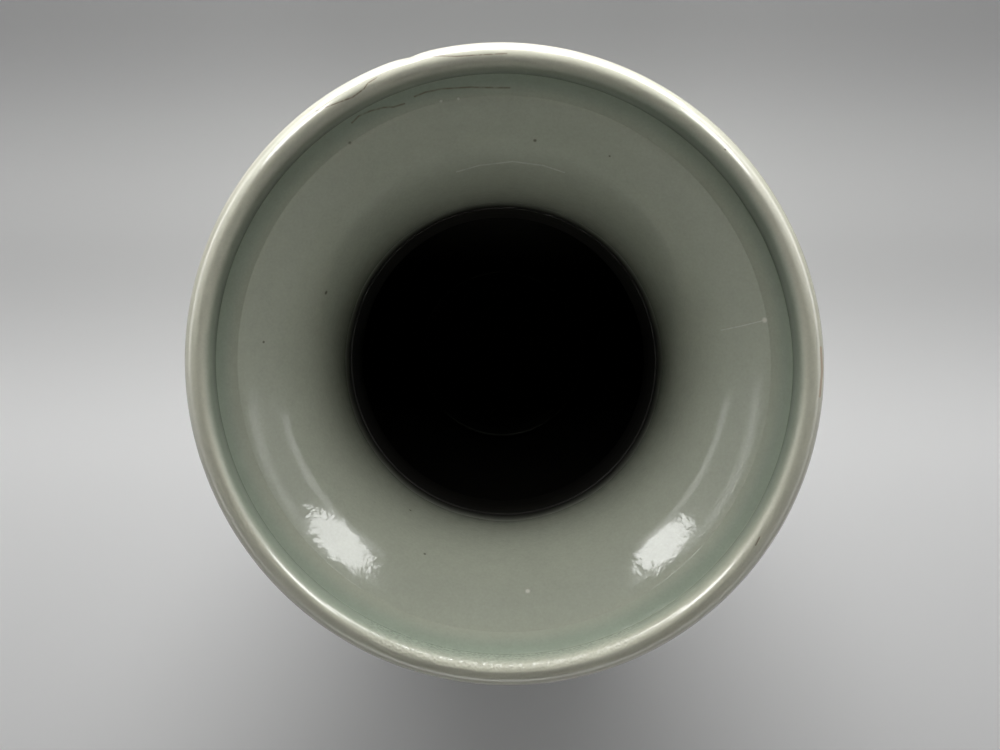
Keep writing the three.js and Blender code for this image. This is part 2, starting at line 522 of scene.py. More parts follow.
# %% [markdown]
# Nothing handmade stays quite round. Drying and firing pulled this rim 0.6 mm out of round,
# widest towards the upper left of the photograph. Moving vertices by a formula would do it,
# but all twelve pieces have to warp together and stay joined, so one lattice holds them all:
# each layer of the cage is stretched along one direction and drawn in across it.

# %% Warp the vase as firing does
WARP = 0.6 * MM
WARP_DIRECTION = math.radians(124)
WARP_TWIST = math.radians(-34)
CAGE_LAYERS = 8
CAGE_MARGIN = 1.2
CAGE_BOTTOM = -0.5


def firing_cage():
    """A lattice round the whole vase, whose warp grows from none at the foot to the rim's."""
    bpy.ops.object.select_all(action="DESELECT")
    bpy.ops.object.add(type="LATTICE", location=(0, 0, mouth_height / 2))
    cage = bpy.context.object
    width = 2 * CAGE_MARGIN * mouth_radius
    cage.scale = (width, width, CAGE_MARGIN * mouth_height)
    cage.data.points_w = CAGE_LAYERS
    cage.data.interpolation_type_u = "KEY_LINEAR"
    cage.data.interpolation_type_v = "KEY_LINEAR"
    for point in cage.data.points:
        rise = point.co.z - CAGE_BOTTOM
        angle = WARP_DIRECTION + WARP_TWIST * (1 - rise)
        along = Vector((math.cos(angle), math.sin(angle)))
        across = Vector((-along.y, along.x))
        flat = point.co.xy
        pull = WARP * rise / mouth_radius
        warped = along * flat.dot(along) * (1 + pull) + across * flat.dot(across) * (1 - pull)
        point.co_deform = (warped.x, warped.y, point.co.z)
    return cage


def warp(pieces):
    """Applies the cage to every piece and takes it away."""
    cage = firing_cage()
    for piece in pieces:
        bpy.context.view_layer.objects.active = piece
        modifier = piece.modifiers.new("firing", "LATTICE")
        modifier.object = cage
        bpy.ops.object.modifier_apply(modifier=modifier.name)
    bpy.data.objects.remove(cage)


warp(pieces)

# %% [markdown]
# A hard knock leaves its trace. The photograph shows a slight dip in the rim, where a flake has
# gone from the edge. It could be cut out with a boolean, but a real flake is a shallow hollow,
# so the lip is pressed in there with proportional editing, as by hand: a few vertices move and
# their neighbours follow less and less.

# %% Press a dip into the lip
DIP_DIRECTION = math.radians(107)
DIP_DEPTH = 0.45 * MM
DIP_REACH = 4.5 * MM
DIP_GRIP = 1.5 * MM


def press_dip(piece):
    """Pushes the lip's edge towards the axis at one direction."""
    outward = Vector((math.cos(DIP_DIRECTION), math.sin(DIP_DIRECTION), 0))
    centre = outward * mouth_radius + Vector((0, 0, edge_height))
    bpy.ops.object.select_all(action="DESELECT")
    piece.select_set(True)
    bpy.context.view_layer.objects.active = piece
    bpy.ops.object.mode_set(mode="EDIT")
    bpy.ops.mesh.select_all(action="DESELECT")
    bpy.ops.object.mode_set(mode="OBJECT")
    gripped = 0
    for v in piece.data.vertices:
        v.select = (v.co - centre).length < DIP_GRIP
        gripped += v.select
    bpy.ops.object.mode_set(mode="EDIT")
    bpy.ops.transform.translate(
        value=-outward * DIP_DEPTH, use_proportional_edit=True, proportional_size=DIP_REACH,
    )
    bpy.ops.object.mode_set(mode="OBJECT")
    print(f"the dip moved {gripped} vertices and their neighbours")


press_dip(lip)

# %% [markdown]
# Shader maths reads best as arithmetic, so a small class wraps a node's output: adding or
# multiplying two of them adds the Math node that does it. One method adds every node: its
# settings first, because some of them change which sockets there are, then its sockets, each
# with a value or another output. A Mix node has a set of sockets for each kind of value, all
# with the same names, so those for colours are found by their numbers.

# %% Write shader maths as Python
MIX_FACTOR, MIX_FIRST, MIX_SECOND, MIX_RESULT = 0, 6, 7, 2


class Field:
    """An output that varies over a surface. Arithmetic on it adds Math nodes."""

    def __init__(self, nodes, socket):
        self.nodes = nodes
        self.socket = socket

    def math(self, operation, first, second=0.0):
        """A Math node on two inputs."""
        return self.nodes.add("ShaderNodeMath", {"operation": operation}, {0: first, 1: second})

    def __add__(self, other):
        return self.math("ADD", self, other)

    def __sub__(self, other):
        return self.math("SUBTRACT", self, other)

    def __rsub__(self, other):
        return self.math("SUBTRACT", other, self)

    def __mul__(self, other):
        return self.math("MULTIPLY", self, other)

    __radd__ = __add__
    __rmul__ = __mul__

    def __abs__(self):
        return self.math("ABSOLUTE", self)

    def rise(self, low, high, start=0.0, end=1.0):
        """Goes smoothly from start, at low and under it, to end, at high and over it."""
        settings = {"interpolation_type": "SMOOTHSTEP"}
        sockets = {0: self, 1: low, 2: high, 3: start, 4: end}
        return self.nodes.add("ShaderNodeMapRange", settings, sockets)

    def fall(self, low, high):
        """Goes smoothly from 1, at low and under it, to 0, at high and over it."""
        return self.rise(low, high, 1.0, 0.0)

    def within(self, low, high, soft):
        """Is 1 between low and high, and fades out over a soft width inside them."""
        return self.rise(low, low + soft) * self.fall(high - soft, high)


class Nodes:
    """The nodes of one material or world."""

    def __init__(self, tree):
        self.tree = tree
        tree.nodes.clear()

    def add(self, kind, settings=None, sockets=None, output=0):
        """Adds a node, and hands back one output, or the node itself where it has none."""
        node = self.tree.nodes.new(kind)
        for name, value in (settings or {}).items():
            setattr(node, name, value)
        for key, value in (sockets or {}).items():
            if isinstance(value, Field):
                self.tree.links.new(value.socket, node.inputs[key])
            else:
                node.inputs[key].default_value = value
        return Field(self, node.outputs[output]) if node.outputs else node

    def vector(self, operation, first, second, output=0):
        """A Vector Math node on two inputs."""
        sockets = {0: first, 1: second}
        return self.add("ShaderNodeVectorMath", {"operation": operation}, sockets, output)

    def scaled(self, colour, amount):
        """A colour or vector times a number that varies."""
        settings = {"operation": "SCALE"}
        first = colour if isinstance(colour, Field) else tuple(colour)[:3]
        return self.add("ShaderNodeVectorMath", settings, {"Vector": first, "Scale": amount})

    def mix(self, factor, first, second):
        """The first colour where the factor is 0, and the second where it is 1."""
        sockets = {MIX_FACTOR: factor, MIX_FIRST: first, MIX_SECOND: second}
        return self.add("ShaderNodeMix", {"data_type": "RGBA"}, sockets, MIX_RESULT)


print("shader maths: + - * abs, rise, fall and within")

# %% [markdown]
# All the finishes read Object coordinates. Every piece sits at the origin with its place in
# its mesh, so these are the vase's own coordinates, and a pattern runs on across a joint
# without a step. A potter's places are heights, radii and directions round the axis, so these
# are worked out once for each material. The wall's normal tells its outside from its inside.
# Every finish ends in the same shader. Its coat is a second, sharp gloss over the first one,
# and only the lip has it.

# %% Find a place on the vase
GLAZE_IOR = 1.5
COAT_ROUGHNESS = 0.06
OUTSIDE_START = 0.1
OUTSIDE_FULL = 0.3
NOISE_MIDDLE = 0.5
SOFT_DETAIL = 1
PLAIN_DETAIL = 2
FINE_DETAIL = 3


class Surface(Nodes):
    """The nodes of a finish, with the places on the vase that it is painted by."""

    def __init__(self, name):
        self.material = bpy.data.materials.new(name)
        self.material.use_nodes = True
        super().__init__(self.material.node_tree)
        self.place = self.add("ShaderNodeTexCoord", output="Object")
        split = {"Vector": self.place}
        across = self.add("ShaderNodeSeparateXYZ", {}, split, "X")
        away = self.add("ShaderNodeSeparateXYZ", {}, split, "Y")
        self.height = self.add("ShaderNodeSeparateXYZ", {}, split, "Z")
        self.azimuth = across.math("ARCTAN2", away, across)
        self.flat = self.vector("MULTIPLY", self.place, (1, 1, 0))
        self.radius = self.vector("LENGTH", self.flat, (0, 0, 0), "Value")
        facing = self.add("ShaderNodeNewGeometry", output="Normal")
        outward = self.vector("NORMALIZE", self.flat, (0, 0, 0))
        turned_out = self.vector("DOT_PRODUCT", facing, outward, "Value")
        self.outside = turned_out.rise(OUTSIDE_START, OUTSIDE_FULL)
        self.inside = 1 - self.outside

    def noise(self, size, detail=PLAIN_DETAIL, stretch=(1, 1, 1)):
        """A cloudy pattern round zero, about 1 high, whose blots have a real size."""
        place = self.vector("MULTIPLY", self.place, stretch)
        sockets = {"Vector": place, "Scale": 1 / size, "Detail": detail}
        return (self.add("ShaderNodeTexNoise", {}, sockets) - NOISE_MIDDLE) * 2

    def cells(self, size):
        """How far it is to the middle of the nearest of many cells, about one size apart."""
        sockets = {"Vector": self.place, "Scale": 1 / size}
        return self.add("ShaderNodeTexVoronoi", {}, sockets, "Distance") * size

    def finish(self, colour, roughness, bump, coat):
        """Ends the finish in a shader, with its bump in metres."""
        relief = {"Strength": 1.0, "Distance": 1.0, "Height": bump}
        normal = self.add("ShaderNodeBump", {}, relief)
        sockets = {"Base Color": colour, "Roughness": roughness, "Normal": normal}
        sockets |= {"IOR": GLAZE_IOR, "Coat Weight": coat, "Coat Roughness": COAT_ROUGHNESS}
        shader = self.add("ShaderNodeBsdfPrincipled", {}, sockets)
        self.add("ShaderNodeOutputMaterial", {}, {"Surface": shader})
        print(f"{self.material.name}: {len(self.tree.nodes)} nodes")
        return self.material


# %% [markdown]
# Celadon is a clear glaze with a little iron. Its colour is its thickness: where it runs thin
# over an edge the pale body shows through, and where it pools it goes deep and bluish green.
# So the finish never paints parts one by one. It first works out how thick the glaze lies.

# %% Glaze thickness
WALL_COLOUR = (0.376, 0.396, 0.320, 1)
POOLED_COLOUR = (0.285, 0.330, 0.262, 1)
THIN_COLOUR = (0.440, 0.440, 0.350, 1)
WANDER = 0.35 * MM
RIDGE_WIDTH = 0.9 * MM
CHANNEL_SOFT = 3.4 * MM
LIP_START = 77.2 * MM
LIP_FULL = 79.4 * MM
GROOVE_REACH = 4 * MM
GROOVE_SOFT = GROOVE_REACH / 3
GROOVE_SHARE = 0.75
ANKLE_REACH = 24 * MM
ANKLE_SHARE = 0.6
SKIRT_TOP = 13 * MM
SKIRT_WANDER = 3
SKIRT_SHARE = 0.7
STRING_SHARE = 0.8
RIDGE_SHARE = 0.15

ridge_radius = flare_top.x
string_height = low_of("neck") + STRING_HEIGHT / 2


def pooled(surface, wander):
    """Where the glaze lies thick: the channel, the groove at the shoulder and the ankle."""
    start = ridge_radius + RIDGE_WIDTH / 2
    groove_low = low_of("neck") - GROOVE_REACH
    ankle_soft = ANKLE_REACH / 2
    ankle_low = foot_height - ankle_soft
    channel = (surface.radius + wander).rise(start, start + CHANNEL_SOFT) * surface.inside
    channel = channel * surface.height.rise(waist_height, flare_top.y)
    groove = surface.height.within(groove_low, string_height, GROOVE_SOFT)
    ankle = surface.height.within(ankle_low, foot_height + ANKLE_REACH, ankle_soft)
    return channel + (GROOVE_SHARE * groove + ANKLE_SHARE * ankle) * surface.outside


def thinned(surface, wander):
    """Where the glaze runs thin: over the ridge, the lip, the string and the foot's edge."""
    across = surface.radius + wander
    ridge = abs(across - ridge_radius).fall(0.0, RIDGE_WIDTH)
    ridge = ridge * surface.inside * surface.height.rise(waist_height, flare_top.y)
    lip = across.rise(LIP_START, LIP_FULL) * surface.height.rise(flare_top.y, seat_height)
    string = abs(surface.height + wander - string_height).fall(0.0, STRING_HEIGHT / 2)
    skirt = (surface.height + SKIRT_WANDER * wander).fall(FOOT_BEVEL + FOOT_EDGE, SKIRT_TOP)
    outer_edges = (STRING_SHARE * string + SKIRT_SHARE * skirt) * surface.outside
    return RIDGE_SHARE * ridge + lip + outer_edges


# %% [markdown]
# The throat is black: nothing shows below the waist. Thick glaze down there would catch light
# again and again between the walls and glow. The real inside can't be seen, so its shade is
# painted: from the floor to just above the waist the inside is coloured near black and matt,
# with an uneven edge where the glaze of the mouth ends.

# %% Painted shade inside the throat
# Painted shade: a near-black matt colour stands in for the shade deep in the throat.
THROAT_SHADE_COLOUR = (0.02, 0.019, 0.016, 1)
THROAT_SHADE_ROUGHNESS = 0.65
THROAT_SHADE_TOP = 296 * MM
THROAT_SHADE_SOFT = 20 * MM
THROAT_SHADE_WANDER = 2 * MM
THROAT_SHADE_WANDER_SIZE = 14 * MM
THROAT_SHADE_FLOOR_SOFT = 1 * MM


def painted_throat_shade(surface):
    """Painted shade inside the vase, from the floor's upper face to just above the waist."""
    edge = surface.height + THROAT_SHADE_WANDER * surface.noise(THROAT_SHADE_WANDER_SIZE)
    floor = low_of("base_saucer") + FLOOR_THICKNESS / 2
    above_floor = surface.height.rise(floor, floor + THROAT_SHADE_FLOOR_SOFT)
    return edge.fall(THROAT_SHADE_TOP - THROAT_SHADE_SOFT, THROAT_SHADE_TOP) * above_floor * surface.inside


# %% [markdown]
# Marks. The photograph shows a few iron specks, some pale pinholes, two hairlines in the
# channel, two fine scratches, and brown lines on the lip, where the glaze crawled. Each has a
# direction round the axis, in degrees, and a radius in millimetres, and a speck or a pinhole
# has its size as well. They could be one painted image, but no image is kept with the vase,
# so each is a distance: to a point for a speck, and to a straight stroke for a line.

# %% Draw marks
IRON_COLOUR = (0.085, 0.075, 0.050, 1)
BROWN_COLOUR = (0.150, 0.110, 0.070, 1)
PALE_COLOUR = (0.620, 0.620, 0.540, 1)
SPECKS = (
    (82.2, 62.4, 0.8),
    (124.8, 73.0, 0.85),
    (63.2, 64.3, 0.5),
    (158.2, 54.5, 0.95),
    (174.6, 66.4, 0.6),
    (237.5, 51.1, 0.7),
    (247.3, 58.0, 0.6),
)
PALE_SPOTS = ((275.9, 63.2, 1.1), (9.8, 71.9, 1.2), (103.5, 73.1, 0.8), (99.8, 72.9, 0.7))
HAIRLINES = (
    ((122.2, 76.6), (120.3, 77.1), (117.6, 76.8), (115.1, 76.2), (113.2, 75.4), (110.9, 75.2)),
    ((108.5, 75.9), (106.1, 76.1), (102.6, 75.9), (97.0, 75.2), (88.9, 74.6)),
)
SCRATCHES = (
    ((103.9, 55.9), (97.2, 56.4), (87.6, 57.0), (78.8, 56.9), (72.5, 56.5)),
    ((9.0, 61.2), (9.3, 66.1), (9.8, 72.1)),
)
LIP_LINES = (
    ((126.5, 82.7), (123.2, 81.5), (119.5, 80.5), (116.9, 81.0), (115.8, 81.9), (113.1, 82.4)),
    ((103.8, 83.2), (101.8, 82.6), (98.8, 81.6), (94.2, 81.3), (89.6, 81.4)),
    ((-33.6, 80.7), (-35.5, 81.1)),
)
BURNT_EDGE = (((3.3, 83.4), (-1.0, 83.7), (-5.5, 83.4)),)
SPOT_CORE_SHARE = 0.3
SPOT_EDGE_SHARE = 0.85
STROKE_CORE_SHARE = 0.2
STROKE_EDGE_SHARE = 0.7


def height_inside(radius):
    """The height of the flare's inside where it has a radius."""
    points = flare_inside()
    for upper, lower in zip(points, points[1:]):
        if lower.x <= radius <= upper.x:
            return lower.y + (upper.y - lower.y) * (radius - lower.x) / (upper.x - lower.x)
    return waist_height


def plan(azimuth, radius):
    """A place seen from above, from its azimuth in degrees and its radius in millimetres."""
    angle = math.radians(azimuth)
    return Vector((math.cos(angle), math.sin(angle), 0)) * radius * MM


def spots(surface, places):
    """Soft dots on the inside of the flare."""
    total = 0.0
    for azimuth, radius, size in places:
        centre = plan(azimuth, radius) + Vector((0, 0, height_inside(radius * MM)))
        distance = surface.vector("DISTANCE", surface.place, centre, "Value")
        width = size * MM
        total = distance.fall(SPOT_CORE_SHARE * width, SPOT_EDGE_SHARE * width) + total
    return total


def strokes(surface, lines, width):
    """Fine lines, each drawn in plan from place to place."""
    total = 0.0
    for line in lines:
        places = [plan(*place) for place in line]
        for first, second in zip(places, places[1:]):
            along = second - first
            offset = surface.vector("SUBTRACT", surface.flat, first)
            share = surface.vector("DOT_PRODUCT", offset, along / along.length_squared, "Value")
            share = surface.add("ShaderNodeClamp", {}, {"Value": share})
            gap = surface.vector("DISTANCE", offset, surface.scaled(along, share), "Value")
            mark = gap.fall(STROKE_CORE_SHARE * width, STROKE_EDGE_SHARE * width)
            total = mark.math("MAXIMUM", mark, total)
    return total


print(len(SPECKS), "specks,", len(PALE_SPOTS), "pale spots,", len(HAIRLINES), "hairlines")

# %% [markdown]
# The glaze itself. A real one is never even: it is cloudy over some centimetres, runs down the
# outside in faint tears, and has fine bubbles. Its gloss shows the rest: a skin like orange
# peel, a few hundredths of a millimetre deep, which frays the edges of a reflected window.

# %% Celadon glaze
WANDER_SIZE = 9 * MM
CLOUD_SIZE = 22 * MM
CLOUD_SHARE = 0.05
CLOUD_ROUGHNESS = 0.02
RUN_SIZE = 9 * MM
RUN_STRETCH = (1, 1, 0.18)
RUN_SHARE = 0.12
STREAK_SIZE = 2.4 * MM
STREAK_STRETCH = (1, 1, 0.1)
STREAK_TOP = 326 * MM
STREAK_SHARE = 0.16
MOTTLE_SIZE = 3 * MM
MOTTLE_SHARE = 0.05
BUBBLE_SIZE = 0.8 * MM
BUBBLE_SHARE = 0.08
PEEL_SIZE = 2.6 * MM
PEEL_DEPTH = 0.026 * MM
FINE_PEEL_SIZE = 0.9 * MM
FINE_PEEL_DEPTH = 0.013 * MM
SPECK_PITCH = 13 * MM
SPECK_RADIUS = 0.45 * MM
SPECK_SHARE = 0.9
GLAZE_ROUGHNESS = 0.08


class Glaze:
    """The celadon glaze as it lies on one piece: its colour, roughness and bump, still open."""

    def __init__(self, name):
        self.surface = surface = Surface(name)
        wander = WANDER * surface.noise(WANDER_SIZE)
        cloud = surface.noise(CLOUD_SIZE, FINE_DETAIL)
        runs = surface.noise(RUN_SIZE, SOFT_DETAIL, RUN_STRETCH) * surface.outside
        thick = pooled(surface, wander) + RUN_SHARE * runs
        colour = surface.mix(thick, WALL_COLOUR, POOLED_COLOUR)
        colour = surface.mix(thinned(surface, wander), colour, THIN_COLOUR)
        specks = surface.cells(SPECK_PITCH).fall(SPECK_RADIUS / 2, SPECK_RADIUS)
        colour = surface.mix(SPECK_SHARE * specks * surface.outside, colour, IRON_COLOUR)
        streaks = surface.noise(STREAK_SIZE, PLAIN_DETAIL, STREAK_STRETCH) * surface.inside
        streaks = streaks * surface.height.fall(waist_height, STREAK_TOP)
        grain = MOTTLE_SHARE * surface.noise(MOTTLE_SIZE)
        grain = grain + BUBBLE_SHARE * surface.noise(BUBBLE_SIZE)
        shade = 1 + CLOUD_SHARE * cloud + grain + STREAK_SHARE * streaks
        self.colour = surface.scaled(colour, shade)
        self.roughness = GLAZE_ROUGHNESS + CLOUD_ROUGHNESS * cloud
        peel = PEEL_DEPTH * surface.noise(PEEL_SIZE, SOFT_DETAIL)
        self.bump = peel + FINE_PEEL_DEPTH * surface.noise(FINE_PEEL_SIZE, SOFT_DETAIL)

    def paint(self, mask, colour, roughness=None):
        """Lays another colour over the glaze where the mask is 1."""
        self.colour = self.surface.mix(mask, self.colour, colour)
        if roughness is not None:
            self.roughness = self.roughness * (1 - mask) + roughness * mask

    def paint_throat_shade(self):
        """The painted shade inside the throat."""
        self.paint(painted_throat_shade(self.surface), THROAT_SHADE_COLOUR, THROAT_SHADE_ROUGHNESS)

    def fire(self, coat=0.0):
        """Ends the glaze in its shader and hands back the material."""
        return self.surface.finish(self.colour, self.roughness, self.bump, coat)


def glaze_body():
    """The glaze of the neck, the body, its floor and the joints."""
    glaze = Glaze("celadon_glaze")
    # Painted shade inside the throat.
    glaze.paint_throat_shade()
    return glaze.fire()


body_glaze = glaze_body()

# %% [markdown]
# The mouth has the same glaze and all the marks that the photograph shows on it. A pale spot is
# a burst bubble that healed over, so it is a dimple too, which the gloss makes visible. A
# hairline is only a crack in the glaze: thin, brown and a little sunken.

# %% Glaze of the mouth
PINHOLE_DEPTH = 0.05 * MM
HAIRLINE_WIDTH = 0.4 * MM
HAIRLINE_DEPTH = 0.02 * MM
SCRATCH_WIDTH = 0.3 * MM
BREAK_SIZE = 1.7 * MM
BREAK_RANGE = (-0.9, 0.2)
IRON_SHARE = 0.75
HAIRLINE_SHARE = 0.65
SCRATCH_SHARE = 0.55


def glaze_mouth():
    """The glaze of the trumpet mouth, with its specks, pinholes, hairlines and scratches."""
    glaze = Glaze("celadon_glaze_of_the_mouth")
    surface = glaze.surface
    broken = surface.noise(BREAK_SIZE, SOFT_DETAIL).rise(*BREAK_RANGE)
    specks = spots(surface, SPECKS)
    pale = spots(surface, PALE_SPOTS)
    hairlines = strokes(surface, HAIRLINES, HAIRLINE_WIDTH) * broken * surface.inside
    scratches = strokes(surface, SCRATCHES, SCRATCH_WIDTH) * broken * surface.inside
    glaze.paint(IRON_SHARE * specks, IRON_COLOUR)
    glaze.paint(pale, PALE_COLOUR)
    glaze.paint(HAIRLINE_SHARE * hairlines, BROWN_COLOUR)
    glaze.paint(SCRATCH_SHARE * scratches, PALE_COLOUR)
    glaze.bump = glaze.bump - PINHOLE_DEPTH * pale - HAIRLINE_DEPTH * hairlines
    # Painted shade inside the throat.
    glaze.paint_throat_shade()
    return glaze.fire()


mouth_glaze = glaze_mouth()

# %% [markdown]
# On the lip the glaze runs off while it is liquid, and what stays is thin: pale at the crest
# and brownish where the clay almost shows. Its own gloss is soft, and a clear coat over it
# draws the sharp line of the highlight. On the lower side of the photograph the glaze has
# boiled into tiny pits a millimetre apart. A bump makes the pits, and the coat is left only
# in the middle of each, which breaks the highlight into dots.

# %% Glaze of the lip
LIP_BROWN = (0.400, 0.372, 0.290, 1)
LIP_BROWN_SIZE = 11 * MM
LIP_BROWN_RANGE = (-0.3, 0.9)
LIP_BROWN_START = 80.5 * MM
LIP_BROWN_FULL = 82 * MM
LIP_BROWN_SHARE = 0.5
LIP_EDGE_COLOUR = (0.540, 0.515, 0.440, 1)
LIP_EDGE_START = 84.2 * MM
LIP_EDGE_FULL = 84.8 * MM
LIP_EDGE_SIZE = 5 * MM
LIP_EDGE_SHARE = 0.8
LIP_BREAK_RANGE = (-0.6, 0.1)
LIP_LINE_SHARE = 0.85
BURNT_COLOUR = (0.330, 0.190, 0.090, 1)
BURNT_SHARE = 0.6
LIP_ROUGHNESS = 0.38
LIP_CLOUD_ROUGHNESS = 0.05
PIT_PITCH = 0.95 * MM
PIT_DEPTH = 0.14 * MM
PIT_RADIUS = 0.9 * PIT_PITCH
DOT_CORE = 0.35 * PIT_PITCH
DOT_EDGE = 0.6 * PIT_PITCH
PITS_END = 81 * MM
PITS_FADE = 1.2 * MM
PITS_FROM = math.radians(-122)
PITS_TO = math.radians(-60)
PITS_SOFT = math.radians(7)


def glaze_lip():
    """The thin glaze of the rolled lip, with its pits, its brown lines and its burnt edge."""
    glaze = Glaze("thin_lip_glaze")
    surface = glaze.surface
    brown = surface.noise(LIP_BROWN_SIZE, FINE_DETAIL).rise(*LIP_BROWN_RANGE)
    brown = brown * surface.radius.rise(LIP_BROWN_START, LIP_BROWN_FULL)
    glaze.paint(LIP_BROWN_SHARE * brown, LIP_BROWN)
    across = surface.radius + WANDER * surface.noise(LIP_EDGE_SIZE)
    glaze.paint(LIP_EDGE_SHARE * across.rise(LIP_EDGE_START, LIP_EDGE_FULL), LIP_EDGE_COLOUR)
    lines = strokes(surface, LIP_LINES, HAIRLINE_WIDTH)
    lines = lines * surface.noise(BREAK_SIZE, SOFT_DETAIL).rise(*LIP_BREAK_RANGE)
    glaze.paint(LIP_LINE_SHARE * lines, BROWN_COLOUR)
    burnt = strokes(surface, BURNT_EDGE, 2 * HAIRLINE_WIDTH)
    glaze.paint(BURNT_SHARE * burnt, BURNT_COLOUR)
    sector = surface.azimuth.within(PITS_FROM, PITS_TO, PITS_SOFT)
    sector = sector * surface.radius.fall(PITS_END - PITS_FADE, PITS_END)
    cells = surface.cells(PIT_PITCH)
    pits = cells.fall(0.0, PIT_RADIUS) * sector
    dull = cells.rise(DOT_CORE, DOT_EDGE) * sector
    glaze.bump = glaze.bump - PIT_DEPTH * pits - HAIRLINE_DEPTH * lines
    glaze.roughness = LIP_ROUGHNESS + LIP_CLOUD_ROUGHNESS * surface.noise(CLOUD_SIZE)
    return glaze.fire(1 - dull)


lip_glaze = glaze_lip()

# %% [markdown]
# Where the vase stands, the glaze is wiped off before firing, or it would weld the vase to the
# shelf. The bare stoneware has burnt to a toasted brown, with a darker line where the glaze
# ends. It is matt, and it keeps the fine grooves of the turning tool and a little grit.

# %% Bare clay of the foot
CLAY_COLOUR = (0.450, 0.330, 0.240, 1)
CLAY_CLOUD_SIZE = 6 * MM
CLAY_CLOUD_SHARE = 0.16
CLAY_GRAIN_SIZE = 0.6 * MM
CLAY_GRAIN_SHARE = 0.1
CLAY_ROUGHNESS = 0.8
WIPED_WANDER = 0.15 * MM
WIPED_WANDER_SIZE = 4 * MM
WIPED_SOFT = 0.1 * MM
BURNT_LINE = 0.9 * MM
BURNT_LINE_SOFT = 0.25 * MM
BURNT_LINE_SHARE = 0.7
GROOVE_PITCH = 0.9 * MM
GROOVE_DEPTH = 0.02 * MM
GROOVE_WANDER = 0.2 * MM
GROOVE_WANDER_SIZE = 12 * MM
GRIT_SIZE = 0.7 * MM
GRIT_DEPTH = 0.03 * MM


def clay_clouds(surface):
    """How light the burnt clay is from place to place, round 1."""
    return 1 + CLAY_CLOUD_SHARE * surface.noise(CLAY_CLOUD_SIZE, FINE_DETAIL)


def clay_bump(surface):
    """Turning grooves round the axis, and grit."""
    place = surface.radius + surface.height + GROOVE_WANDER * surface.noise(GROOVE_WANDER_SIZE)
    turns = place * (2 * math.pi / GROOVE_PITCH)
    return GROOVE_DEPTH * turns.math("SINE", turns) + GRIT_DEPTH * surface.noise(GRIT_SIZE)


def glaze_foot():
    """The glaze of the foot, wiped away at the bearing edge."""
    glaze = Glaze("celadon_glaze_of_the_foot")
    surface = glaze.surface
    line = GLAZE_LINE - GLAZE_THICKNESS + WIPED_WANDER * surface.noise(WIPED_WANDER_SIZE)
    above_line = surface.height - line
    bare = above_line.fall(0.0, WIPED_SOFT)
    burnt = above_line.within(-BURNT_LINE, BURNT_LINE_SOFT, BURNT_LINE_SOFT)
    shade = clay_clouds(surface) + CLAY_GRAIN_SHARE * surface.noise(CLAY_GRAIN_SIZE)
    glaze.paint(bare, surface.scaled(CLAY_COLOUR, shade), CLAY_ROUGHNESS)
    glaze.paint(BURNT_LINE_SHARE * burnt, BURNT_COLOUR)
    glaze.bump = glaze.bump * (1 - bare) + clay_bump(surface) * bare
    return glaze.fire()


def bare_clay():
    """The ankle's slip: clay where it shows inside the foot, glazed over outside."""
    glaze = Glaze("bare_clay")
    surface = glaze.surface
    clay = surface.scaled(CLAY_COLOUR, clay_clouds(surface))
    glaze.paint(surface.inside, clay, CLAY_ROUGHNESS)
    glaze.bump = glaze.bump * surface.outside + clay_bump(surface) * surface.inside
    return glaze.fire()


foot_glaze = glaze_foot()
slip_clay = bare_clay()

# %% [markdown]
# Each piece gets its finish by name. The pieces between the foot and the mouth share one
# material, so a cloud in the glaze crosses their joints and the joints vanish, as they do
# under real glaze.

# %% Hand out the finishes
FINISHES = {
    "foot_ring": foot_glaze,
    "ankle_luting_slip": slip_clay,
    "trumpet_mouth": mouth_glaze,
    "lip_luting_slip": mouth_glaze,
    "rolled_lip": lip_glaze,
}

for piece in pieces:
    node = piece.name.removeprefix("fired_")
    piece.data.materials.clear()
    piece.data.materials.append(FINISHES.get(node, body_glaze))
    print(f"{node}: {piece.data.materials[0].name}")

# %% [markdown]
# The floor is a pale sheet with painted shade: its colour is brightest just below the middle of
# the picture and goes grey towards the top, as the light on the background falls off there. A
# colour keeps the light on the vase as it is, where another lamp would change it.

# %% Lay the floor
FLOOR_SIZE = 4.0
# Painted shade: the floor's grey goes from 0.9 at the bottom of the picture to 0.23 at its top.
FLOOR_SHADE_STOPS = ((-0.17, 0.90), (-0.06, 0.90), (0.06, 0.50), (0.18, 0.23))
FLOOR_ROUGHNESS = 0.85


def lay_floor():
    """A plane under the vase, with painted shade that greys it towards the top of the picture."""
    bpy.ops.object.select_all(action="DESELECT")
    bpy.ops.mesh.primitive_plane_add(size=FLOOR_SIZE, location=(0, 0, 0))
    sheet = bpy.context.object
    sheet.name = "floor"
    material = bpy.data.materials.new("floor_with_painted_shade")
    material.use_nodes = True
    nodes = Nodes(material.node_tree)
    place = nodes.add("ShaderNodeTexCoord", output="Object")
    away = nodes.add("ShaderNodeSeparateXYZ", {}, {"Vector": place}, "Y")
    first_grey = FLOOR_SHADE_STOPS[0][1]
    painted_falloff = (first_grey, first_grey, first_grey, 1)
    for (start, _), (end, grey) in zip(FLOOR_SHADE_STOPS, FLOOR_SHADE_STOPS[1:]):
        painted_falloff = nodes.mix(away.rise(start, end), painted_falloff, (grey, grey, grey, 1))
    sockets = {"Base Color": painted_falloff, "Roughness": FLOOR_ROUGHNESS}
    shader = nodes.add("ShaderNodeBsdfPrincipled", {}, sockets)
    nodes.add("ShaderNodeOutputMaterial", {}, {"Surface": shader})
    sheet.data.materials.append(material)
    print(f"floor: {FLOOR_SIZE} m wide, from a grey of {first_grey} to one of {FLOOR_SHADE_STOPS[-1][1]}")


lay_floor()

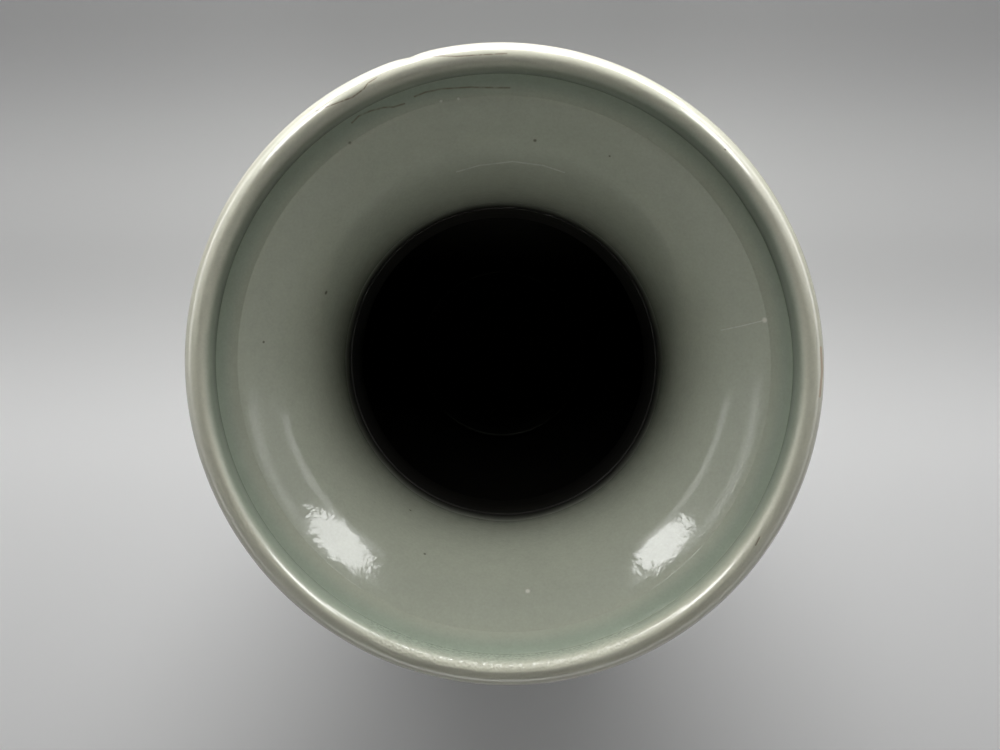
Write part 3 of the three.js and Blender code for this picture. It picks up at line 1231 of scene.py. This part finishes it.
# %% [markdown]
# Light. The mouth says where it came from. The wall at the foot of the picture is the brightest,
# so two wide key lamps stand beyond the top, one above the other, and a weak fill faces them
# through a grid, which keeps it off the floor. Low strips beyond the top whiten the lip's outer
# edge there and draw the fine line on the lip opposite. Two windows, high up left and right,
# stand in the flare as patches: each is a round lamp between a top and a sill, with the faint
# room round it and a fainter wall beside it. A lamp is placed by the direction and elevation
# from which the mouth sees it, and its energy follows from its radiance and its size. The
# windows are only for the gloss, and the keys and the fill only for the clay's own colour, or
# each would spoil the other's work. The strips are for both.

# %% Hang the lamps
LAMP_DISTANCE = 1.0
FOR_COLOUR = ("key", "high_key", "fill")
FOR_BOTH = ("low_strip", "side_strip")
ROUND_LAMPS = ("right_lamp", "left_lamp")
OPEN_SPREAD = 180
GRID_SPREAD = 20
# Each lamp's azimuth, elevation, width and height, in degrees, and its radiance.
LAMPS = {
    "key": (93, 25, 60, 22, 3.7),
    "high_key": (92, 60, 24, 22, 4.8),
    "fill": (270, 62, 12, 12, 0.34),
    "low_strip": (90, 3, 76, 8, 16),
    "side_strip": (90, -9, 70, 14, 10.3),
    "right_lamp": (45.5, 26, 17, 26, 8),
    "right_top": (32, 38, 40, 5, 1.5),
    "right_sill": (34, 13, 42, 7, 1.9),
    "right_room": (33, 25, 46, 32, 0.5),
    "left_lamp": (132.5, 25, 16, 24, 9),
    "left_top": (148, 38, 46, 4, 2.2),
    "left_sill": (150, 12, 44, 5, 2.2),
    "left_room": (150, 25, 50, 32, 0.4),
    "right_wall": (-20, 25, 60, 30, 0.16),
    "left_wall": (205, 25, 60, 30, 0.16),
}


def lamp_width(angle):
    """The width of a lamp that is seen under an angle from the mouth."""
    return 2 * LAMP_DISTANCE * math.tan(math.radians(angle) / 2)


def hang_lamp(name, azimuth, elevation, wide, high, radiance):
    """A soft lamp, rectangular or elliptical, that faces the mouth."""
    around = math.radians(azimuth)
    up = math.radians(elevation)
    level = Vector((math.cos(around), math.sin(around), 0))
    direction = level * math.cos(up) + Vector((0, 0, math.sin(up)))
    lamp = bpy.data.lights.new(name, "AREA")
    lamp.shape = "ELLIPSE" if name in ROUND_LAMPS else "RECTANGLE"
    lamp.size = lamp_width(wide)
    lamp.size_y = lamp_width(high)
    lamp.energy = radiance * math.pi * lamp.size * lamp.size_y
    lamp.spread = math.radians(GRID_SPREAD if name == "fill" else OPEN_SPREAD)
    stand = bpy.data.objects.new(name, lamp)
    bpy.context.scene.collection.objects.link(stand)
    stand.location = Vector((0, 0, mouth_height)) + direction * LAMP_DISTANCE
    stand.rotation_euler = direction.to_track_quat("Z", "Y").to_euler()
    stand.visible_camera = False
    stand.visible_glossy = name not in FOR_COLOUR
    stand.visible_diffuse = name in FOR_COLOUR + FOR_BOTH
    print(f"{name}: {lamp.energy:.1f} W")


for name, lamp in LAMPS.items():
    hang_lamp(name, *lamp)

# %% [markdown]
# The room. Soft light comes in low from all round, strongest beyond the top of the picture,
# and none from straight above, where the photographer leans over the vase. That, with the
# painted shade inside, is why the throat goes dark so fast. The camera sees a plain pale
# backdrop instead, where a low view looks past the floor.

# %% Light the room
ROOM_BAND = (-0.04, 0.11)
ROOM_TURN = (-0.3, 0.7)
ROOM_GLOW = (1.7, 5.2)
BACKDROP = 0.8


def light_room():
    """A world whose strength goes by the sine of the elevation."""
    world = bpy.data.worlds.new("studio")
    bpy.context.scene.world = world
    world.use_nodes = True
    nodes = Nodes(world.node_tree)
    direction = nodes.add("ShaderNodeTexCoord", output="Generated")
    up = nodes.add("ShaderNodeSeparateXYZ", {}, {"Vector": direction}, "Z")
    beyond = nodes.add("ShaderNodeSeparateXYZ", {}, {"Vector": direction}, "Y")
    glow = up.fall(*ROOM_BAND) * beyond.rise(*ROOM_TURN, *ROOM_GLOW)
    camera_ray = nodes.add("ShaderNodeLightPath", output="Is Camera Ray")
    strength = camera_ray * BACKDROP + (1 - camera_ray) * glow
    sockets = {"Color": (1, 1, 1, 1), "Strength": strength}
    background = nodes.add("ShaderNodeBackground", {}, sockets)
    nodes.add("ShaderNodeOutputWorld", {}, {"Surface": background})
    print(f"room: {len(nodes.tree.nodes)} nodes")


light_room()
bpy.context.scene.view_settings.view_transform = "Standard"

# %% [markdown]
# The vase has no joints, so every piece rides on its one body. Each smooth piece stands for
# the frame's node of the same name, which is hidden.

# %% Fit the pieces to the frame
for piece in pieces:
    node = piece.name.removeprefix("fired_")
    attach(piece, "root")
    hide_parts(node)
